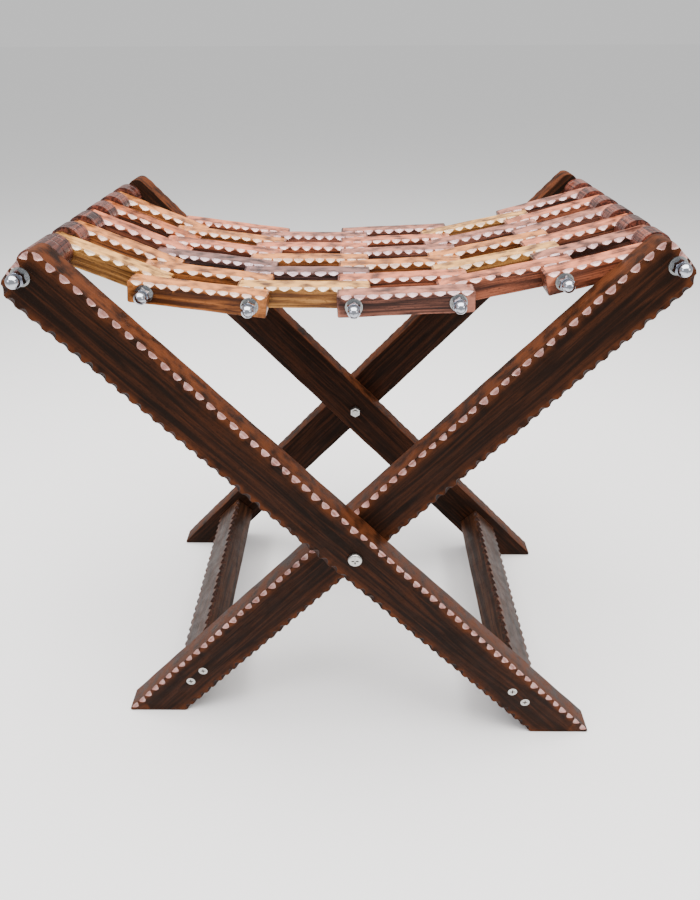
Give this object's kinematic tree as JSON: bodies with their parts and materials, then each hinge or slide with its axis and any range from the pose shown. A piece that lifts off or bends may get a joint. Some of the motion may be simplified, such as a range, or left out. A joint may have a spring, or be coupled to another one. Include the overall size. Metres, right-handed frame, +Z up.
{
  "type": "folding slatted X-leg stand",
  "caption": "Folding hardwood X-leg stand with a sagging seat of interleaved chip-carved slats hinged on threaded rods.",
  "frame": {"origin": "on the floor, in the middle of the open stand, below the pivot bolts", "axes": "+Z up, +X across the fold (along the slats), +Y from front to back"},
  "size_m": [0.482, 0.3634, 0.4612],
  "materials": {
    "leg_wood": "dark walnut stained hardwood, clear lacquer, carved corners",
    "stretcher_wood": "dark walnut stained hardwood, clear lacquer, carved corners",
    "slat_wood": "lacquered hardwood slats, honey to rose to grey from slat to slat",
    "spacer_wood": "turned and lacquered reddish hardwood",
    "rod_steel": "zinc plated threaded rod",
    "nut_chrome": "polished chrome cap nuts",
    "washer_steel": "zinc plated flat washers",
    "screw_steel": "zinc plated screws, bolts and nuts"
  },
  "bodies": {
    "frame_a": {"frame_a_leg_front": "leg_wood", "frame_a_leg_rear": "leg_wood", "frame_a_stretcher": "stretcher_wood", "frame_a_stretcher_screws": "screw_steel", "pivot_bolts": "screw_steel", "pivot_nuts": "screw_steel", "seat_rod_1": "rod_steel", "washers_frame_a": "washer_steel", "cap_nuts_frame_a": "nut_chrome", "spacers_left": "spacer_wood"},
    "frame_b": {"frame_b_leg_front": "leg_wood", "frame_b_leg_rear": "leg_wood", "frame_b_stretcher": "stretcher_wood", "frame_b_stretcher_screws": "screw_steel", "seat_rod_7_studs": "rod_steel", "washers_frame_b": "washer_steel", "cap_nuts_frame_b": "nut_chrome"},
    "span_1": {"slat_1_1": "slat_wood", "slat_1_2": "slat_wood", "slat_1_3": "slat_wood", "slat_1_4": "slat_wood", "slat_1_5": "slat_wood"},
    "span_2": {"slat_2_1": "slat_wood", "slat_2_2": "slat_wood", "slat_2_3": "slat_wood", "slat_2_4": "slat_wood", "slat_2_5": "slat_wood", "slat_2_6": "slat_wood", "seat_rods_2_3": "rod_steel", "washers_span_2": "washer_steel", "cap_nuts_span_2": "nut_chrome"},
    "span_3": {"slat_3_1": "slat_wood", "slat_3_2": "slat_wood", "slat_3_3": "slat_wood", "slat_3_4": "slat_wood", "slat_3_5": "slat_wood"},
    "span_4": {"slat_4_1": "slat_wood", "slat_4_2": "slat_wood", "slat_4_3": "slat_wood", "slat_4_4": "slat_wood", "slat_4_5": "slat_wood", "slat_4_6": "slat_wood", "seat_rods_4_5": "rod_steel", "washers_span_4": "washer_steel", "cap_nuts_span_4": "nut_chrome"},
    "span_5": {"slat_5_1": "slat_wood", "slat_5_2": "slat_wood", "slat_5_3": "slat_wood", "slat_5_4": "slat_wood", "slat_5_5": "slat_wood"},
    "span_6": {"slat_6_1": "slat_wood", "slat_6_2": "slat_wood", "slat_6_3": "slat_wood", "slat_6_4": "slat_wood", "slat_6_5": "slat_wood", "slat_6_6": "slat_wood", "seat_rods_6_7": "rod_steel", "washers_span_6": "washer_steel", "cap_nuts_span_6": "nut_chrome", "spacers_right": "spacer_wood"}
  },
  "joints": [
    {"name": "fold", "type": "hinge", "parent": "frame_a", "child": "frame_b", "pos_m": [0, 0, 0.2069], "axis": [0, -1, 0], "range_deg": [0, 76]},
    {"name": "seat_hinge_1", "type": "hinge", "parent": "frame_a", "child": "span_1", "pos_m": [-0.22575, 0, 0.4443], "axis": [0, -1, 0], "range_deg": [0, 86.86]},
    {"name": "seat_hinge_2", "type": "hinge", "parent": "span_1", "child": "span_2", "pos_m": [-0.15807, 0, 0.41695], "axis": [0, -1, 0], "range_deg": [0, 122.95]},
    {"name": "seat_hinge_3", "type": "hinge", "parent": "span_2", "child": "span_3", "pos_m": [-0.07981, 0, 0.40692], "axis": [0, -1, 0], "range_deg": [-92.01, 0]},
    {"name": "seat_hinge_4", "type": "hinge", "parent": "span_3", "child": "span_4", "pos_m": [-0.00091, 0, 0.40623], "axis": [0, -1, 0], "range_deg": [-114.2, 0]},
    {"name": "seat_hinge_5", "type": "hinge", "parent": "span_4", "child": "span_5", "pos_m": [0.07791, 0, 0.40967], "axis": [0, -1, 0], "range_deg": [-21.21, 0]},
    {"name": "seat_hinge_6", "type": "hinge", "parent": "span_5", "child": "span_6", "pos_m": [0.1552, 0, 0.42554], "axis": [0, -1, 0], "range_deg": [-110.57, 0]}
  ],
  "couplings": [
    {"joint": "seat_hinge_1", "follows": "fold", "ratio": 1.1429},
    {"joint": "seat_hinge_2", "follows": "fold", "ratio": 1.6177},
    {"joint": "seat_hinge_3", "follows": "fold", "ratio": -1.2105},
    {"joint": "seat_hinge_4", "follows": "fold", "ratio": -1.5026},
    {"joint": "seat_hinge_5", "follows": "fold", "ratio": -0.27895},
    {"joint": "seat_hinge_6", "follows": "fold", "ratio": -1.4549}
  ]
}
